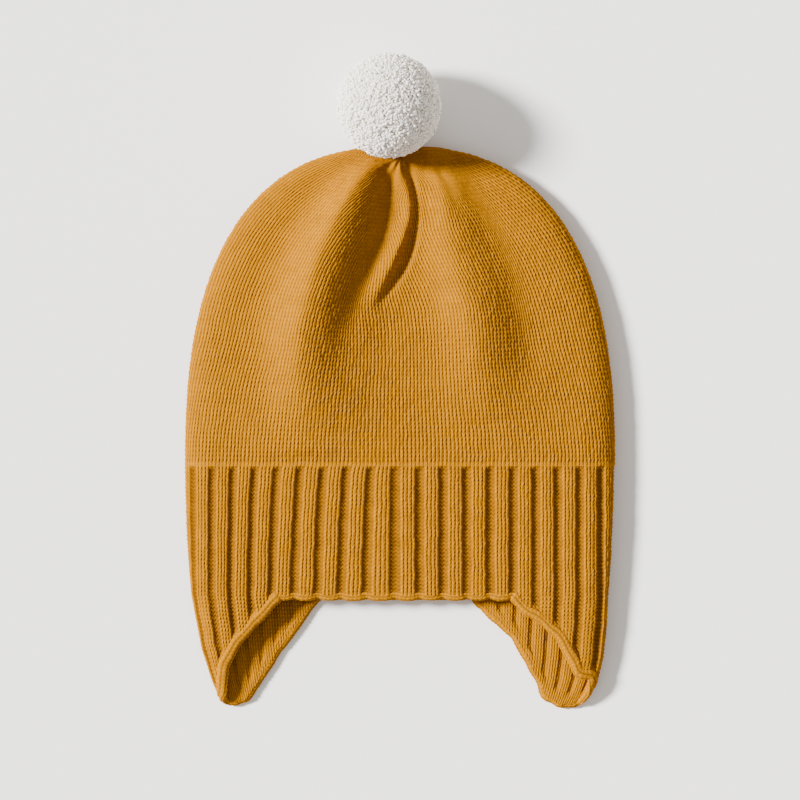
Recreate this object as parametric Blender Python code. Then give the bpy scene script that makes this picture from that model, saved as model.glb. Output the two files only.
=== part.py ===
"""Child's knitted hat with two folded ear flaps and a wool pom-pom, lying flat on its back.

Frame: +Z up from the surface the hat lies on, +Y from the brim to the pom-pom, +X to the right
ear flap. The head opening faces -Y. Metres.
"""
import bpy
import bmesh
import numpy as np
from math import cos, sin, pi, radians
from mathutils import Vector

# ---------------------------------------------------------------- driving dimensions
MM = 0.001
GAP = 0.3 * MM                  # clearance kept between neighbouring pieces

HALF_WIDTH = 105.5 * MM         # widest place of the flat hat, where the crown meets the rib band
BAND_TOP_Y = -40.7 * MM         # line where the ribbing turns into plain knitting
CROWN_LENGTH = 154.0 * MM       # from that line to the gathered top
CROWN_POWER = 2.45              # superellipse power of the crown's outline
BRIM_Y = -104.5 * MM            # straight lower edge of the ribbing, and the flaps' fold line
BRIM_NARROWING = 4.5 * MM       # how much narrower each side is at the brim

FOLD_R = 6.5 * MM               # outer radius of the side folds: the flat hat is two of these high
CROWN_T = 2.8 * MM              # plain knitting
RIB_T = 3.8 * MM                # ribbed knitting, over the ribs
FLAP_T = 3.6 * MM
CROWN_LIFT = 10.0 * MM          # how far the front layer is puffed up in the middle
LIFT_Y = 15.0 * MM              # where along the hat it is highest
LIFT_REACH_UP = 98.3 * MM       # distance from there to the gathered top
LIFT_REACH_DOWN = 122.0 * MM    # distance from there to the flat brim

RIBS_FRONT = 20
RIBS_BACK_HALF = 8
RIB_DEPTH = 1.5 * MM
RIB_PHASES = (0.0, 0.08, 0.66, 0.74)    # foot, top, top, foot of a rib, as shares of its pitch

SEAM_HALF = 1.2 * MM            # half of the space the back seam takes between the back panels
EDGE_R = 1.4 * MM               # knitted edging cord

FLAP_LENGTH = 50.25 * MM
FLAP_FRONT_X = 57.5 * MM        # where the front half of a flap starts at the brim
FLAP_BACK_X = 40.0 * MM         # where its back half starts
FLAP_TIP_R = 4.7 * MM           # fold radius at the flap's tip
FLAP_HINGE = (BRIM_Y, 2 * FOLD_R + 0.6 * MM)    # y and z of the line a flap folds up on

EYE_ANGLE = radians(45)         # where around the top fold the pom-pom's yarn comes out
ANCHOR_R = 5.0 * MM             # distance of the yarn's pivot from the fold's centre line

POMPOM_R = 24.6 * MM
POMPOM_C = Vector((-5.4, 134.0, 25.6)) * MM
YARN_R = 1.0 * MM

COLOURS = {
    "crown": (0.72, 0.37, 0.035),
    "ribbing": (0.70, 0.35, 0.03),
    "edging": (0.66, 0.32, 0.028),
    "seam": (0.60, 0.29, 0.025),
    "pompom": (0.86, 0.80, 0.71),
    "white_yarn": (0.82, 0.77, 0.68),
}


# ---------------------------------------------------------------- small tools
def clear_scene():
    for obj in list(bpy.data.objects):
        bpy.data.objects.remove(obj, do_unlink=True)


def wool(name):
    """Matt wool in the piece's own colour, one material for each piece."""
    key = MATERIAL_OF[name]
    mat = bpy.data.materials.new(name)
    mat.use_nodes = True
    shader = mat.node_tree.nodes["Principled BSDF"]
    shader.inputs["Base Color"].default_value = (*COLOURS[key], 1.0)
    shader.inputs["Roughness"].default_value = 0.9
    shader.inputs["Metallic"].default_value = 0.0
    return mat


def add_object(name, bm, pivot=None, smooth=40):
    """Turn a bmesh in world coordinates into a named object with its origin at the pivot."""
    pivot = Vector(pivot) if pivot is not None else Vector((0, 0, 0))
    bmesh.ops.recalc_face_normals(bm, faces=bm.faces)
    bmesh.ops.translate(bm, verts=bm.verts, vec=-pivot)
    mesh = bpy.data.meshes.new(name)
    bm.to_mesh(mesh)
    bm.free()
    mesh.shade_smooth()
    mesh.set_sharp_from_angle(angle=radians(smooth))
    mesh.materials.append(wool(name))
    obj = bpy.data.objects.new(name, mesh)
    obj.location = pivot
    bpy.context.collection.objects.link(obj)
    return obj


def slab(outer, inner, faces):
    """Closed body between two matching surfaces: skins, and a wall along every free edge."""
    bm = bmesh.new()
    top = [bm.verts.new(p) for p in outer]
    low = [bm.verts.new(p) for p in inner]
    uses = {}
    for face in faces:
        bm.faces.new([top[i] for i in face])
        bm.faces.new([low[i] for i in reversed(face)])
        for a, b in zip(face, face[1:] + face[:1]):
            uses.setdefault(frozenset((a, b)), []).append((a, b))
    for once in uses.values():
        if len(once) == 1:
            a, b = once[0]
            bm.faces.new([top[b], top[a], low[a], low[b]])
    loose = [v for v in bm.verts if not v.link_faces]
    bmesh.ops.delete(bm, geom=loose, context="VERTS")
    return bm


def grid_faces(rows, cols, skip=()):
    """Faces of a grid whose points run column by column inside each row."""
    faces = []
    for r in range(rows - 1):
        for c in range(cols - 1):
            if (r, c) not in skip:
                k = r * cols + c
                faces.append([k, k + 1, k + 1 + cols, k + cols])
    return faces


def cord(path, radius, sides=8):
    """Round cord along a path of points, with flat ends."""
    bm = bmesh.new()
    path = [Vector(p) for p in path]
    side = None
    rings = []
    for i, p in enumerate(path):
        along = (path[min(i + 1, len(path) - 1)] - path[max(i - 1, 0)]).normalized()
        if side is None:
            side = along.orthogonal().normalized()
        side = (side - along * side.dot(along)).normalized()
        up = along.cross(side)
        turns = [2 * pi * k / sides for k in range(sides)]
        rings.append([bm.verts.new(p + radius * (cos(a) * side + sin(a) * up)) for a in turns])
    for one, two in zip(rings, rings[1:]):
        for k in range(sides):
            n = (k + 1) % sides
            bm.faces.new([one[k], one[n], two[n], two[k]])
    bm.faces.new(list(reversed(rings[0])))
    bm.faces.new(rings[-1])
    return bm


def turned(profile, centre, axis, steps=28):
    """Body of revolution: profile points are (distance from the axis, height along the axis)."""
    axis = Vector(axis).normalized()
    side = axis.orthogonal().normalized()
    up = axis.cross(side)
    bm = bmesh.new()
    rings = []
    for r, h in profile:
        base = Vector(centre) + axis * h
        if r == 0:
            rings.append([bm.verts.new(base)])
        else:
            turns = [2 * pi * k / steps for k in range(steps)]
            rings.append([bm.verts.new(base + r * (cos(a) * side + sin(a) * up)) for a in turns])
    for one, two in zip(rings, rings[1:]):
        for k in range(steps):
            n = (k + 1) % steps
            corners = [one[k % len(one)], one[n % len(one)], two[n % len(two)], two[k % len(two)]]
            bm.faces.new(list(dict.fromkeys(corners)))
    return bm


# ---------------------------------------------------------------- shape of the flat hat
def half_width(y):
    """Half of the flat hat's width in the rib band."""
    share = (BAND_TOP_Y - y) / (BAND_TOP_Y - BRIM_Y)
    return HALF_WIDTH - BRIM_NARROWING * share ** 2


def lift(y):
    """Extra height of the front layer along the hat's middle line."""
    reach = LIFT_REACH_UP if y > LIFT_Y else LIFT_REACH_DOWN
    return CROWN_LIFT * max(0.0, cos(pi / 2 * (y - LIFT_Y) / reach))


def crown_outline(count):
    """Points spread along the crown's outline from right to left, closer together at the top."""
    turn = np.linspace(0, pi, 4001)
    x = HALF_WIDTH * np.sign(np.cos(turn)) * np.abs(np.cos(turn)) ** (2 / CROWN_POWER)
    y = BAND_TOP_Y + CROWN_LENGTH * np.abs(np.sin(turn)) ** (2 / CROWN_POWER)
    run = np.concatenate([[0], np.cumsum(np.hypot(np.diff(x), np.diff(y)))])
    t = np.linspace(-1, 1, count)
    where = (0.5 + 0.5 * t * (0.6 + 0.4 * t ** 2)) * run[-1]
    step = 0.5 * MM

    def at(s):
        return np.stack([np.interp(s, run, x), np.interp(s, run, y)], axis=-1)

    along = at(np.minimum(where + step, run[-1])) - at(np.maximum(where - step, 0))
    along /= np.linalg.norm(along, axis=1)[:, None]
    along[0] = (0, 1)
    along[-1] = (0, -1)
    inward = np.stack([-along[:, 1], along[:, 0]], axis=-1)
    return at(where), inward


def fold_point(edge, inward, angle, radius):
    """Point around a fold whose outermost line passes through edge at half height."""
    x, y = np.array(edge) + np.array(inward) * (FOLD_R - radius * cos(angle))
    return (x, y, FOLD_R + radius * sin(angle))


FOLD_ANGLES = [radians(a) for a in (-90, -60, -30, 0, 30, 60, 90)]
SPREAD = (0.86, 0.68, 0.5, 0.3)


def make_crown_front():
    """Front half of the crown with both side folds, open below, and an eye at the top."""
    cols = 42
    edge, inward = crown_outline(cols)
    edge[[0, -1], 1] = BAND_TOP_Y
    edge[:, 1] += GAP / 2
    outer = []
    inner = []
    for angle in FOLD_ANGLES:
        outer += [fold_point(e, n, angle, FOLD_R) for e, n in zip(edge, inward)]
        inner += [fold_point(e, n, angle, FOLD_R - CROWN_T) for e, n in zip(edge, inward)]
    foot = BAND_TOP_Y + GAP / 2
    for share in SPREAD:
        for e, n in zip(edge, inward):
            x = share * (e[0] + n[0] * FOLD_R)
            y = foot + share * (e[1] + n[1] * FOLD_R - foot)
            z = 2 * FOLD_R + lift(y) * (1 - share ** 2)
            outer.append((x, y, z))
            inner.append((x, y, z - CROWN_T))
    rows = len(FOLD_ANGLES) + len(SPREAD)
    eye = (FOLD_ANGLES.index(radians(30)), (cols - 1) // 2)
    faces = grid_faces(rows, cols, skip={eye})
    middle = len(outer)
    z = 2 * FOLD_R + lift(foot)
    outer.append((0, foot, z))
    inner.append((0, foot, z - CROWN_T))
    last = (rows - 1) * cols
    faces += [[last + c, last + c + 1, middle] for c in range(cols - 1)]
    add_object("crown_front", slab(outer, inner, faces))


def make_crown_back(name, side):
    """Flat half of the back of the crown, between a side fold and the back seam."""
    edge, inward = crown_outline(42)
    curve = edge + inward * (FOLD_R + GAP)
    foot = BAND_TOP_Y + GAP / 2
    curve[[0, -1], 1] = foot
    half = [p for p in curve if side * p[0] > SEAM_HALF + 1 * MM]
    half.sort(key=lambda p: p[1])
    top_y = max(curve[:, 1])
    points = [(side * SEAM_HALF, foot)] + [tuple(p) for p in half] + [(side * SEAM_HALF, top_y)]
    outer = [(x, y, 0.0) for x, y in points]
    inner = [(x, y, CROWN_T) for x, y in points]
    faces = [[0, i, i + 1] for i in range(1, len(points) - 1)]
    add_object(name, slab(outer, inner, faces))


def band_section(y, length):
    """Point, height and outward normal at a length along the front band's outer section.

    The section runs from the floor on the right, round the fold, over the top to the left floor.
    """
    flat = half_width(y) - FOLD_R
    fold = pi * FOLD_R
    if length < fold:
        angle = length / FOLD_R - pi / 2
        return flat + FOLD_R * cos(angle), FOLD_R * (1 + sin(angle)), cos(angle), sin(angle)
    if length > fold + 2 * flat:
        x, z, nx, nz = band_section(y, 2 * fold + 2 * flat - length)
        return -x, z, -nx, nz
    x = flat - (length - fold)
    return x, 2 * FOLD_R + lift(y) * (1 - (x / flat) ** 2), 0.0, 1.0


def make_band_front():
    """Ribbed front of the band with both side folds."""
    rows = np.linspace(BAND_TOP_Y - GAP / 2, BRIM_Y + GAP / 2, 5)
    shares = [(rib + phase) / RIBS_FRONT for rib in range(RIBS_FRONT) for phase in RIB_PHASES]
    raised = [phase in RIB_PHASES[1:3] for _ in range(RIBS_FRONT) for phase in RIB_PHASES]
    shares.append(1.0)
    raised.append(False)
    outer = []
    inner = []
    for y in rows:
        total = 2 * pi * FOLD_R + 2 * (half_width(y) - FOLD_R)
        for share, top in zip(shares, raised):
            x, z, nx, nz = band_section(y, share * total)
            sink = 0.0 if top else RIB_DEPTH
            outer.append((x - nx * sink, y, z - nz * sink))
            inner.append((x - nx * RIB_T, y, z - nz * RIB_T))
    add_object("rib_band_front", slab(outer, inner, grid_faces(len(rows), len(shares))), smooth=30)


def make_band_back(name, side):
    """Ribbed flat half of the band's back, its ribs towards the surface it lies on."""
    rows = np.linspace(BAND_TOP_Y - GAP / 2, BRIM_Y + GAP / 2, 3)
    outer = []
    inner = []
    for y in rows:
        wide = half_width(y) - FOLD_R - GAP - SEAM_HALF
        for rib in range(RIBS_BACK_HALF):
            for phase in RIB_PHASES:
                x = side * (SEAM_HALF + wide * (rib + phase) / RIBS_BACK_HALF)
                sunk = phase not in RIB_PHASES[1:3]
                outer.append((x, y, RIB_DEPTH if sunk else 0.0))
                inner.append((x, y, RIB_T))
        outer.append((side * (SEAM_HALF + wide), y, RIB_DEPTH))
        inner.append((side * (SEAM_HALF + wide), y, RIB_T))
    cols = len(RIB_PHASES) * RIBS_BACK_HALF + 1
    add_object(name, slab(outer, inner, grid_faces(len(rows), cols)), smooth=30)


# ---------------------------------------------------------------- ear flaps
def flap_row(share):
    """Outer fold x, fold radius, front edge x and back edge x of a flap, at a share of its length."""
    fold_x = half_width(BRIM_Y) - 5.0 * MM * share ** 1.6 - 9.0 * MM * share ** 8
    radius = FOLD_R + (FLAP_TIP_R - FOLD_R) * share
    front = FLAP_FRONT_X + 30.0 * MM * sin(pi / 2 * min(share / 0.8, 1.0))
    front = min(front, fold_x - radius - 0.5 * MM)
    back = FLAP_BACK_X + 33.0 * MM * share ** 0.9
    return fold_x, radius, front, back


def flap_surface(side, depth):
    """Grid of a flap's points, depth below its outer surface, and how many columns it has."""
    shares = (0.0, 0.15, 0.3, 0.45, 0.6, 0.74, 0.87, 1.0)
    turns = np.linspace(pi / 2, -pi / 2, 7)
    points = []
    for share in shares:
        y = BRIM_Y - GAP / 2 - FLAP_LENGTH * share
        fold_x, radius, front, back = flap_row(share)
        crease = fold_x - radius
        row = [(x, 2 * radius - depth) for x in np.linspace(front, crease, 5)[:-1]]
        row += [(crease + (radius - depth) * cos(a), radius + (radius - depth) * sin(a)) for a in turns]
        row += [(x, depth) for x in np.linspace(crease, back, 6)[1:]]
        points += [(side * x, y, z) for x, z in row]
    return points, len(shares), len(row)


def flap_pivot(side):
    return (side * FLAP_FRONT_X, *FLAP_HINGE)


def make_flap(name, side):
    """One ear flap, folded double along the side fold, front half over back half."""
    outer, rows, cols = flap_surface(side, 0.0)
    inner = flap_surface(side, FLAP_T)[0]
    body = slab(outer, inner, grid_faces(rows, cols))
    add_object(name, body, pivot=flap_pivot(side))


def make_flap_edging(name, side):
    """Edging cord down the flap's front edge, round the tip and up its back edge."""
    points, rows, cols = flap_surface(side, FLAP_T / 2)
    grid = np.array(points).reshape(rows, cols, 3)
    away = EDGE_R + GAP + 0.6 * MM

    def push(row, col, inner_row, inner_col):
        """Point off the flap's edge, square to the edge and away from a point inside it."""
        if row == inner_row:
            before, after = grid[max(row - 1, 0), col], grid[min(row + 1, last), col]
        else:
            before, after = grid[row, max(col - 1, 0)], grid[row, min(col + 1, cols - 1)]
        along = (Vector(after) - Vector(before)).normalized()
        out = Vector(grid[row, col]) - Vector(grid[inner_row, inner_col])
        out = (out - along * out.dot(along)).normalized()
        return Vector(grid[row, col]) + out * away

    last = rows - 1
    down = [push(r, 0, r, 1) for r in range(rows)]
    across = [push(last, c, last - 1, c) for c in range(cols)]
    up = [push(r, cols - 1, r, cols - 2) for r in range(last, -1, -1)]
    path = []
    for point in down + across + up:
        if not path or (point - path[-1]).length > EDGE_R / 2:
            path.append(point)
    add_object(name, cord(path, EDGE_R), pivot=flap_pivot(side))


# ---------------------------------------------------------------- edges, seam and yarns
def make_brim_edging(name, half, height):
    """Edging cord along the straight brim between the flaps."""
    y = BRIM_Y + GAP / 2 - GAP - EDGE_R
    path = [(x, y, height(x)) for x in np.linspace(-half, half, 15)]
    add_object(name, cord(path, EDGE_R))


def brim_front_height(x):
    flat = half_width(BRIM_Y) - FOLD_R
    return 2 * FOLD_R + lift(BRIM_Y) * (1 - (x / flat) ** 2) - RIB_T / 2


def brim_back_height(x):
    return EDGE_R + GAP


def make_back_seam():
    """Linking seam between the two back panels: a low ridge of chained yarn inside the hat."""
    top = BAND_TOP_Y + CROWN_LENGTH - FOLD_R - 2 * GAP
    rows = np.linspace(BRIM_Y + GAP / 2, top, 26)
    half = SEAM_HALF - GAP
    outer = []
    inner = []
    for i, y in enumerate(rows):
        wide = half * (1.0 if i % 2 else 0.82)
        for x in (-wide, -0.6 * wide, 0.6 * wide, wide):
            low = abs(x) == wide
            outer.append((x, y, (3.0 if low else 3.5) * MM))
            inner.append((x, y, (0.8 if low else 0.3) * MM))
    add_object("back_seam", slab(outer, inner, grid_faces(len(rows), 4)))


def eye_point(radius):
    """Point on the line that the pom-pom's yarn takes out through the top fold."""
    y = BAND_TOP_Y + CROWN_LENGTH - FOLD_R + radius * cos(EYE_ANGLE)
    return Vector((0, y, FOLD_R + radius * sin(EYE_ANGLE)))


def make_gathering_yarn():
    """Ring of yarn inside the top fold that draws the last round of stitches together."""
    ring = 2.45 * MM
    thick = 0.7 * MM
    turns = [2 * pi * k / 10 for k in range(11)]
    profile = [(ring + thick * cos(a), thick * sin(a)) for a in turns]
    body = turned(profile, eye_point(0.6 * MM), eye_point(1) - eye_point(0), steps=20)
    bmesh.ops.remove_doubles(body, verts=body.verts, dist=1e-6)
    add_object("gathering_yarn", body)


def make_anchor_loop():
    """Stretch of the tying yarn that passes through the eye of the crown."""
    path = [eye_point(r * MM) for r in (1.5, 3.0, 4.5, 6.0, 7.0)]
    add_object("pompom_anchor_loop", cord(path, YARN_R), pivot=eye_point(ANCHOR_R))


def make_inside_knot():
    """Knot of the tying yarn inside the crown."""
    r = 2.5 * MM
    angles = np.linspace(0, pi, 8)
    profile = [(r * sin(a) * (1 + 0.12 * sin(5 * a)), -r * cos(a)) for a in angles]
    profile[0] = (0, -r)
    profile[-1] = (0, r)
    add_object("inside_knot", turned(profile, eye_point(0) - Vector((0, 4.2 * MM, 0)), (1, 0, 0), 14))


def make_pompom():
    """Trimmed wool ball with the channel its tie sits in, the tie, and the yarn to the crown."""
    pivot = eye_point(ANCHOR_R)
    reach = (POMPOM_C - pivot).length
    axis = (pivot - POMPOM_C).normalized()
    channel = YARN_R + 0.7 * MM
    room_r = 3.6 * MM
    room_h = 3.0 * MM
    last = pi - np.arcsin(channel / POMPOM_R)
    ball = [(POMPOM_R * sin(a), -POMPOM_R * cos(a)) for a in np.linspace(0, last, 17)]
    ball[0] = (0, -POMPOM_R)
    inside = [(channel, room_h), (room_r, room_h), (room_r, -room_h), (0, -room_h)]
    add_object("pompom", turned(ball + inside, POMPOM_C, axis), pivot=pivot)

    turns = 3
    tie = [(0, -2.6 * MM)]
    for k in range(turns):
        mid = (-2.6 + (k + 0.5) * 5.2 / turns) * MM
        tie += [(2.7 * MM, mid - 0.8 * MM), (3.2 * MM, mid), (2.7 * MM, mid + 0.8 * MM)]
    tie.append((0, 2.6 * MM))
    add_object("pompom_centre_tie", turned(tie, POMPOM_C, axis, 16), pivot=pivot)

    start = reach - 3.2 * MM
    end = 2.95 * MM
    path = [POMPOM_C + axis * h for h in np.linspace(start, end, 6)]
    add_object("pompom_tie_yarn", cord(path, YARN_R), pivot=pivot)


MATERIAL_OF = {
    "crown_front": "crown",
    "crown_back_left": "crown",
    "crown_back_right": "crown",
    "rib_band_front": "ribbing",
    "rib_band_back_left": "ribbing",
    "rib_band_back_right": "ribbing",
    "back_seam": "seam",
    "brim_edging_front": "edging",
    "brim_edging_back": "edging",
    "left_ear_flap": "ribbing",
    "right_ear_flap": "ribbing",
    "left_flap_edging": "edging",
    "right_flap_edging": "edging",
    "gathering_yarn": "seam",
    "pompom_anchor_loop": "white_yarn",
    "inside_knot": "white_yarn",
    "pompom": "pompom",
    "pompom_centre_tie": "white_yarn",
    "pompom_tie_yarn": "white_yarn",
}

LEFT = -1
RIGHT = 1


def main():
    clear_scene()
    make_crown_front()
    make_crown_back("crown_back_left", LEFT)
    make_crown_back("crown_back_right", RIGHT)
    make_band_front()
    make_band_back("rib_band_back_left", LEFT)
    make_band_back("rib_band_back_right", RIGHT)
    make_back_seam()
    make_brim_edging("brim_edging_front", 53.5 * MM, brim_front_height)
    make_brim_edging("brim_edging_back", 36.0 * MM, brim_back_height)
    for side, word in ((LEFT, "left"), (RIGHT, "right")):
        make_flap(f"{word}_ear_flap", side)
        make_flap_edging(f"{word}_flap_edging", side)
    make_gathering_yarn()
    make_anchor_loop()
    make_inside_knot()
    make_pompom()


main()
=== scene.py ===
"""Child's knitted hat with ear flaps and a pom-pom, lying on its back: knitted surfaces and scene.

Lengths inside the functions are millimetres; meshes are made in metres. +Y runs from the brim to
the pom-pom, +Z up from the floor. A place in the knitting is (wale, course): the column and the
row of the stitch.
"""

from math import cos, pi, radians, sin

import bmesh
import bpy
import numpy as np
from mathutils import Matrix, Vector


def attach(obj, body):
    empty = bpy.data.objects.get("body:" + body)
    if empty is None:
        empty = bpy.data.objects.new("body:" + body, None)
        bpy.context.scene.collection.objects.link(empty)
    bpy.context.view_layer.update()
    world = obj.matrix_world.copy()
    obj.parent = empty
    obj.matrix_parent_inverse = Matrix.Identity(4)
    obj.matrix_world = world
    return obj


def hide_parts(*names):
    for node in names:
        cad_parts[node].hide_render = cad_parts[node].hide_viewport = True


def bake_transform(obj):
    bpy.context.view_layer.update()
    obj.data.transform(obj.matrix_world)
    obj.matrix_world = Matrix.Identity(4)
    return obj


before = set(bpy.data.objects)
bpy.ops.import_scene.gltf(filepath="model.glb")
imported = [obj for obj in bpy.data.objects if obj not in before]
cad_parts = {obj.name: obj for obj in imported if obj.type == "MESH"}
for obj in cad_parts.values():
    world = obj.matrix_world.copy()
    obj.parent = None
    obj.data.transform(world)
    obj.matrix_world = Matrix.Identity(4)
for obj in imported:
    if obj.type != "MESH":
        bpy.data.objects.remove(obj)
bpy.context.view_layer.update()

MM = 0.001

# ---------------------------------------------------------------- sizes of the flat hat
HALF_WIDTH = 105.5
BAND_TOP = -40.7                # where the crown meets the band
BRIM = -104.5
NARROWING = 3.2                 # how far each side of the band draws in at the brim
CROWN_LENGTH = 156.0
POWER = 2.52                    # of the superellipse that is the crown's outline
FOLD = 6.5                      # half of the height of the flat hat's sides
ROUND = 17.0                    # how far in from the side the front layer becomes flat
ROUND_POWER = 2.2
LIFT = 4.5                      # how far the front layer is puffed up in the middle
LIFT_Y = 15.0                   # where it is highest
LIFT_UP = 98.3                  # how far above and below that place it fades away
LIFT_DOWN = 122.0
GATHER_Y = 110.0                # where the top of the crown is drawn together

WALES = 132                     # columns of stitches over the front, from floor to floor
CENTRE = WALES // 2
RIB = 6                         # wales in one rib: four knit and two purl
CROWN_ROWS = 78
TOP_ROWS = 2                    # further rows that turn over the top edge
TOP_HALF = 21.0                 # half of the top edge, which the pom-pom covers
BAND_ROWS = 33
WALE = 1.88                     # width of a stitch
TIGHT_WALE = 1.72               # narrowest before wales go into the folds
COURSE = 1.93                   # height of a stitch
EDGE_COURSE = 2.25              # height of a stitch along the crown's outline
ACROSS = 6                      # mesh columns in a stitch
ALONG = 4                       # mesh rows in a stitch
PLAIN_DEPTH = 0.8               # how far the stitches stand up
CLOTH = 2.4                     # thickness of plain knitting
BAND_CLOTH = 3.6                # thickness of ribbing
FLAP_INSIDE = 3.7               # from the outside of a flap to its inside
FLAP_CLOTH = 3.2                # where a flap's cut edge has its middle, doubled
RIB_SHARES = np.array([0, 0.165, 0.33, 0.495, 0.66, 0.83, 1])
VALLEY = 1.6                    # depth of the purl wales between the ribs
RIB_PITCH = 11.6                # x from one rib to the next at the middle
SIDE_RIBS = 11                  # ribs on each side of the middle, with the side fold
WANDER = 0.22                   # how far stitches lie out of line
WANDER_SIZE = 2.5               # stitches from one such shift to the next
OUTER_LOW = 0.05                # lowest that the outside and the inside of the front reach
INNER_LOW = 0.1

POM_CENTRE = (-5.4, 134.0, 25.6)
POM_RADIUS = 24.6
POM_GRAINS = 9000               # tufts of wool on the ball


def smooth(x):
    """0 below 0, 1 above 1 and a smooth rise between."""
    x = np.clip(x, 0.0, 1.0)
    return x * x * (3 - 2 * x)


def mix(a, b, t):
    """a where t is 0 and b where t is 1."""
    return a + (b - a) * t


def half_width(y):
    """Half of the band's width, which narrows towards the brim."""
    share = np.clip((BAND_TOP - y) / (BAND_TOP - BRIM), 0, 1.2)
    return HALF_WIDTH - NARROWING * share ** 2


def lift(y):
    """How far the middle of the front layer stands above its sides."""
    reach = np.where(y > LIFT_Y, LIFT_UP, LIFT_DOWN)
    return LIFT * np.maximum(0.0, np.cos(pi / 2 * np.clip((y - LIFT_Y) / reach, -1, 1)))


def rounding(d, fold=FOLD, width=ROUND):
    """Height over half thickness, at a distance in from the side of the flat hat."""
    q = np.clip(d / width, 0, 1)
    return fold * (1 - (1 - q) ** ROUND_POWER) ** (1 / ROUND_POWER)


# ---------------------------------------------------------------- outline of the crown
turn = np.linspace(0, pi / 2, 4001)
OUT_X = HALF_WIDTH * np.cos(turn).clip(0) ** (2 / POWER)
OUT_Y = BAND_TOP + CROWN_LENGTH * np.sin(turn) ** (2 / POWER)
OUT_RUN = np.concatenate([[0], np.cumsum(np.hypot(np.diff(OUT_X), np.diff(OUT_Y)))])
TOP_RUN = np.interp(-TOP_HALF, -OUT_X, OUT_RUN)


def outline(run):
    """Point and inward direction on the right half of the crown's outline."""
    step = 0.4
    x0, x1 = (np.interp(run + s, OUT_RUN, OUT_X) for s in (-step, step))
    y0, y1 = (np.interp(run + s, OUT_RUN, OUT_Y) for s in (-step, step))
    long = np.hypot(x1 - x0, y1 - y0)
    return (np.interp(run, OUT_RUN, OUT_X), np.interp(run, OUT_RUN, OUT_Y),
            -(y1 - y0) / long, (x1 - x0) / long)


def outline_depth(x, y):
    """Radial share and distance in from the crown's outline."""
    a = np.abs(x) / HALF_WIDTH
    b = np.maximum(y - BAND_TOP, 0) / CROWN_LENGTH
    f = np.maximum(a ** POWER + b ** POWER, 1e-9)
    r = f ** (1 / POWER)
    slope = np.hypot(a ** (POWER - 1) / HALF_WIDTH, b ** (POWER - 1) / CROWN_LENGTH)
    slope = slope / f ** ((POWER - 1) / POWER)
    return r, np.maximum(0.0, (1 - r) / np.maximum(slope, 1e-9))


# ---------------------------------------------------------------- folds of the gathered crown
# Each fold is a line of (x, y, height, half width); height below zero is a valley.
def bent(points, count=24):
    """The same line with rounded corners."""
    p = np.array(points, float)
    run = np.concatenate([[0], np.cumsum(np.hypot(*np.diff(p[:, :2], axis=0).T))])
    t = np.linspace(0, run[-1], count)
    line = np.stack([np.interp(t, run, p[:, k]) for k in range(p.shape[1])], axis=1)
    for _ in range(4):
        line[1:-1] = 0.25 * line[:-2] + 0.5 * line[1:-1] + 0.25 * line[2:]
    return line


def beside(line, x, y):
    """Distance to a line, its height and width there, and the side: +1 east of a line that runs down."""
    best = np.full(x.shape, 1e9)
    side = np.zeros(x.shape)
    high = np.zeros(x.shape)
    wide = np.ones(x.shape)
    for p, q in zip(line, line[1:]):
        dx, dy = q[0] - p[0], q[1] - p[1]
        t = np.clip(((x - p[0]) * dx + (y - p[1]) * dy) / (dx * dx + dy * dy), 0, 1)
        ex, ey = x - p[0] - t * dx, y - p[1] - t * dy
        dist = np.hypot(ex, ey)
        near = dist < best
        best = np.where(near, dist, best)
        side = np.where(near, np.sign(dx * ey - dy * ex), side)
        high = np.where(near, p[2] + t * (q[2] - p[2]), high)
        wide = np.where(near, p[3] + t * (q[3] - p[3]), wide)
    return best, side, high, wide


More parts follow.
